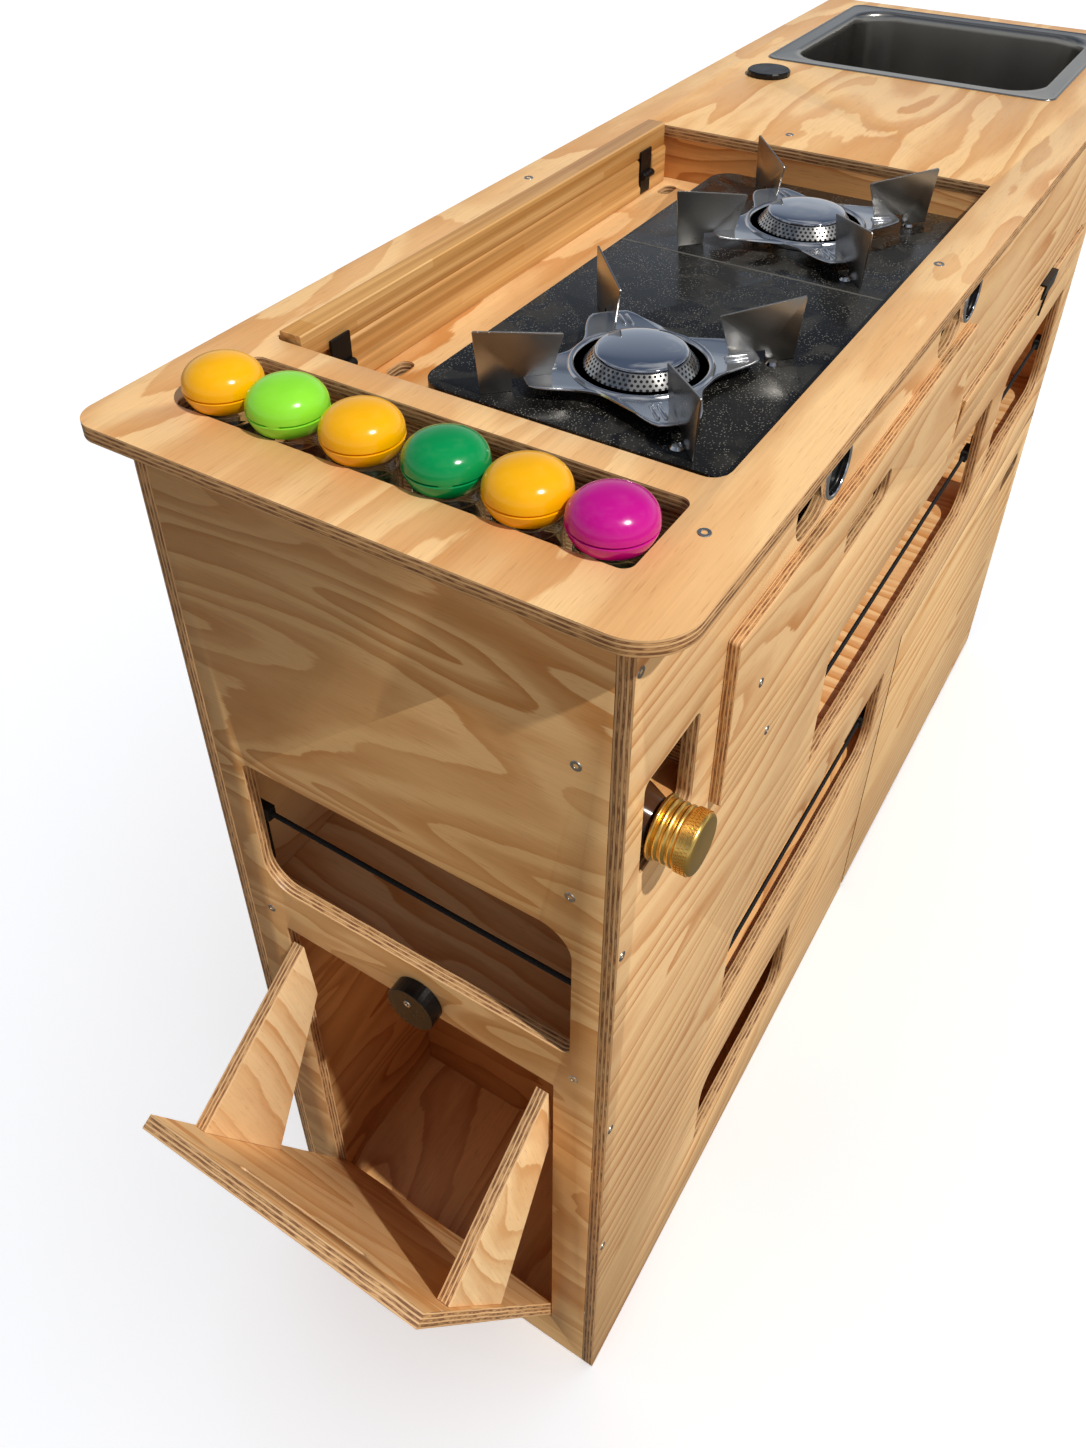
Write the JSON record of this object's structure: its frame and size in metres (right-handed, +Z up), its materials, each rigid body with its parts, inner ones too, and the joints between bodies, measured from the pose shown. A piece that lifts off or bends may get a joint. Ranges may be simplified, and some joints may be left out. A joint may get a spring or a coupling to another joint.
{
  "type": "campervan kitchen pod",
  "caption": "Slim plywood kitchen cabinet with an inset gas hob, a steel sink, a jar slot, a drawer, a cupboard door and a tilt-out bin.",
  "frame": {"origin": "centre of the carcass footprint on the floor, at the underside of the base panel", "axes": "+X along the pod from the bin end to the sink end, +Y from the front face to the back, +Z up"},
  "size_m": [1.2989, 0.3775, 0.8893],
  "materials": {
    "oiled_plywood": "oiled, satin",
    "inner_plywood": "oiled, satin",
    "bamboo": "oiled, satin",
    "black_enamel": "speckled satin enamel",
    "stainless_steel": "brushed",
    "polished_steel": "mirror polished",
    "black_plastic": "satin",
    "black_elastic": "woven elastic",
    "black_steel": "satin black",
    "gold_aluminium": "gold anodised",
    "clear_glass": "clear",
    "yellow_lid": "gloss",
    "lime_lid": "gloss",
    "green_lid": "gloss",
    "magenta_lid": "gloss"
  },
  "bodies": {
    "carcass": {"worktop": "oiled_plywood", "near_end_panel": "oiled_plywood", "far_end_panel": "oiled_plywood", "front_panel": "oiled_plywood", "back_panel": "oiled_plywood", "hob_deck": "oiled_plywood", "base_panel": "inner_plywood", "bin_divider": "inner_plywood", "bin_side_panel": "inner_plywood", "cupboard_frame": "inner_plywood", "upper_shelf": "inner_plywood", "drawer_shelf": "inner_plywood", "bay_divider": "inner_plywood", "sink_divider": "inner_plywood", "jar_bay": "inner_plywood", "drawer_runner": "inner_plywood", "board_rail": "bamboo", "hob_body": "black_enamel", "burner_ring_near": "stainless_steel", "burner_ring_far": "stainless_steel", "sink_bowl": "stainless_steel", "door_hinge": "stainless_steel", "bin_hinge_rod": "stainless_steel", "burner_cap_near": "polished_steel", "burner_cap_far": "polished_steel", "end_cord": "black_elastic", "long_cord": "black_elastic", "shelf_cord": "black_elastic", "sink_cord": "black_elastic", "strap_hinge_near": "black_steel", "strap_hinge_far": "black_steel"},
    "bin_flap": {"bin_flap": "oiled_plywood", "bin_cheek_front": "oiled_plywood", "bin_cheek_back": "oiled_plywood"},
    "turn_button": {"turn_button": "black_plastic"},
    "drawer": {"drawer_front": "oiled_plywood", "drawer_box": "inner_plywood"},
    "cupboard_door": {"cupboard_door": "oiled_plywood"},
    "sink_flap": {"sink_flap": "oiled_plywood", "flap_pull": "black_plastic"},
    "hob_knob_near": {"hob_knob_near": "black_plastic"},
    "hob_knob_far": {"hob_knob_far": "black_plastic"},
    "cover_board": {"cover_board": "bamboo"},
    "tap_hole_cap": {"tap_hole_cap": "black_plastic"},
    "bottle": {"bottle": "clear_glass"},
    "bottle_cap": {"bottle_cap": "gold_aluminium"},
    "pan_support_near": {"pan_support_near": "stainless_steel"},
    "pan_support_far": {"pan_support_far": "stainless_steel"},
    "jar_1": {"jar_glass_1": "clear_glass"},
    "jar_lid_1": {"jar_lid_1": "magenta_lid"},
    "jar_2": {"jar_glass_2": "clear_glass"},
    "jar_lid_2": {"jar_lid_2": "yellow_lid"},
    "jar_3": {"jar_glass_3": "clear_glass"},
    "jar_lid_3": {"jar_lid_3": "green_lid"},
    "jar_4": {"jar_glass_4": "clear_glass"},
    "jar_lid_4": {"jar_lid_4": "yellow_lid"},
    "jar_5": {"jar_glass_5": "clear_glass"},
    "jar_lid_5": {"jar_lid_5": "lime_lid"},
    "jar_6": {"jar_glass_6": "clear_glass"},
    "jar_lid_6": {"jar_lid_6": "yellow_lid"}
  },
  "joints": [
    {"name": "bin_flap_tilt", "type": "hinge", "parent": "carcass", "child": "bin_flap", "pos_m": [-0.566, 0, 0.0525], "axis": [0, 1, 0], "range_deg": [0, 21]},
    {"name": "turn_button_swing", "type": "hinge", "parent": "carcass", "child": "turn_button", "pos_m": [-0.5773, -0.008, 0.455], "axis": [1, 0, 0], "range_deg": [0, 180]},
    {"name": "drawer_slide", "type": "slide", "parent": "carcass", "child": "drawer", "axis": [0, -1, 0], "range_m": [0, 0.24]},
    {"name": "cupboard_door_swing", "type": "hinge", "parent": "carcass", "child": "cupboard_door", "pos_m": [0.0348, -0.16, 0.2035], "axis": [0, 0, -1], "range_deg": [0, 100]},
    {"name": "sink_flap_tilt", "type": "hinge", "parent": "carcass", "child": "sink_flap", "pos_m": [0.285, -0.16, 0.6246], "axis": [1, 0, 0], "range_deg": [-5, 85]},
    {"name": "near_knob_turn", "type": "hinge", "parent": "carcass", "child": "hob_knob_near", "pos_m": [-0.339, -0.16, 0.818], "axis": [0, -1, 0], "range_deg": [0, 240]},
    {"name": "far_knob_turn", "type": "hinge", "parent": "carcass", "child": "hob_knob_far", "pos_m": [-0.066, -0.16, 0.818], "axis": [0, -1, 0], "range_deg": [0, 240]},
    {"name": "cover_board_lift", "type": "slide", "parent": "carcass", "child": "cover_board", "axis": [0, 0, 1], "range_m": [0, 0.1]},
    {"name": "tap_hole_cap_lift", "type": "slide", "parent": "carcass", "child": "tap_hole_cap", "axis": [0, 0, 1], "range_m": [0, 0.05]},
    {"name": "bottle_slide", "type": "slide", "parent": "carcass", "child": "bottle", "axis": [0, -1, 0], "range_m": [0, 0.28]},
    {"name": "bottle_cap_turn", "type": "hinge", "parent": "bottle", "child": "bottle_cap", "pos_m": [-0.5305, -0.1737, 0.6875], "axis": [0, -1, 0], "continuous": true},
    {"name": "near_support_lift", "type": "slide", "parent": "carcass", "child": "pan_support_near", "axis": [0, 0, 1], "range_m": [0, 0.06]},
    {"name": "far_support_lift", "type": "slide", "parent": "carcass", "child": "pan_support_far", "axis": [0, 0, 1], "range_m": [0, 0.06]},
    {"name": "jar_lift_1", "type": "slide", "parent": "carcass", "child": "jar_1", "axis": [0, 0, 1], "range_m": [0, 0.15]},
    {"name": "jar_lid_lift_1", "type": "slide", "parent": "jar_1", "child": "jar_lid_1", "axis": [0, 0, 1], "range_m": [0, 0.05]},
    {"name": "jar_lift_2", "type": "slide", "parent": "carcass", "child": "jar_2", "axis": [0, 0, 1], "range_m": [0, 0.15]},
    {"name": "jar_lid_lift_2", "type": "slide", "parent": "jar_2", "child": "jar_lid_2", "axis": [0, 0, 1], "range_m": [0, 0.05]},
    {"name": "jar_lift_3", "type": "slide", "parent": "carcass", "child": "jar_3", "axis": [0, 0, 1], "range_m": [0, 0.15]},
    {"name": "jar_lid_lift_3", "type": "slide", "parent": "jar_3", "child": "jar_lid_3", "axis": [0, 0, 1], "range_m": [0, 0.05]},
    {"name": "jar_lift_4", "type": "slide", "parent": "carcass", "child": "jar_4", "axis": [0, 0, 1], "range_m": [0, 0.15]},
    {"name": "jar_lid_lift_4", "type": "slide", "parent": "jar_4", "child": "jar_lid_4", "axis": [0, 0, 1], "range_m": [0, 0.05]},
    {"name": "jar_lift_5", "type": "slide", "parent": "carcass", "child": "jar_5", "axis": [0, 0, 1], "range_m": [0, 0.15]},
    {"name": "jar_lid_lift_5", "type": "slide", "parent": "jar_5", "child": "jar_lid_5", "axis": [0, 0, 1], "range_m": [0, 0.05]},
    {"name": "jar_lift_6", "type": "slide", "parent": "carcass", "child": "jar_6", "axis": [0, 0, 1], "range_m": [0, 0.15]},
    {"name": "jar_lid_lift_6", "type": "slide", "parent": "jar_6", "child": "jar_lid_6", "axis": [0, 0, 1], "range_m": [0, 0.05]}
  ]
}
